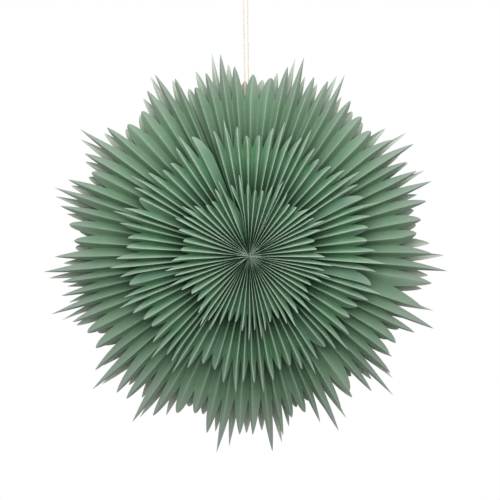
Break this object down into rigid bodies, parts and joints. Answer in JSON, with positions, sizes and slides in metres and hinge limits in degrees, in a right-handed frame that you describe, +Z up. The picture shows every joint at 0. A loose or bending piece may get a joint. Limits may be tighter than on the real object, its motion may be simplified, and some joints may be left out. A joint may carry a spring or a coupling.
{
  "type": "paper star",
  "caption": "Round layered star of accordion-folded sage-green paper with pointed leaf tips, glued at the middle and hung on a doubled cotton cord.",
  "frame": {"origin": "inside top of the hanging loop, where a hook or nail holds it", "axes": "+Z up along the cord, -Y the way the star's front faces, +X to the right as seen from the front"},
  "size_m": [0.4438, 0.0536, 0.5239],
  "materials": {
    "front_paper": "matte uncoated paper",
    "middle_paper": "matte uncoated paper",
    "large_paper": "matte uncoated paper",
    "back_paper": "matte uncoated paper",
    "glue": "set craft glue",
    "cotton_cord": "twisted cotton"
  },
  "bodies": {
    "root": {"front_sheet_1": "front_paper", "front_sheet_2": "front_paper", "front_sheet_3": "front_paper", "front_sheet_4": "front_paper", "front_sheet_5": "front_paper", "front_sheet_6": "front_paper", "front_sheet_7": "front_paper", "front_sheet_8": "front_paper", "front_sheet_9": "front_paper", "middle_sheet_1": "middle_paper", "middle_sheet_2": "middle_paper", "middle_sheet_3": "middle_paper", "middle_sheet_4": "middle_paper", "middle_sheet_5": "middle_paper", "middle_sheet_6": "middle_paper", "middle_sheet_7": "middle_paper", "middle_sheet_8": "middle_paper", "middle_sheet_9": "middle_paper", "large_sheet_1": "large_paper", "large_sheet_2": "large_paper", "large_sheet_3": "large_paper", "large_sheet_4": "large_paper", "large_sheet_5": "large_paper", "large_sheet_6": "large_paper", "large_sheet_7": "large_paper", "large_sheet_8": "large_paper", "large_sheet_9": "large_paper", "back_sheet_1": "back_paper", "back_sheet_2": "back_paper", "back_sheet_3": "back_paper", "back_sheet_4": "back_paper", "back_sheet_5": "back_paper", "back_sheet_6": "back_paper", "back_sheet_7": "back_paper", "back_sheet_8": "back_paper", "back_sheet_9": "back_paper", "glue_core": "glue", "hanging_cord": "cotton_cord"}
  },
  "joints": []
}
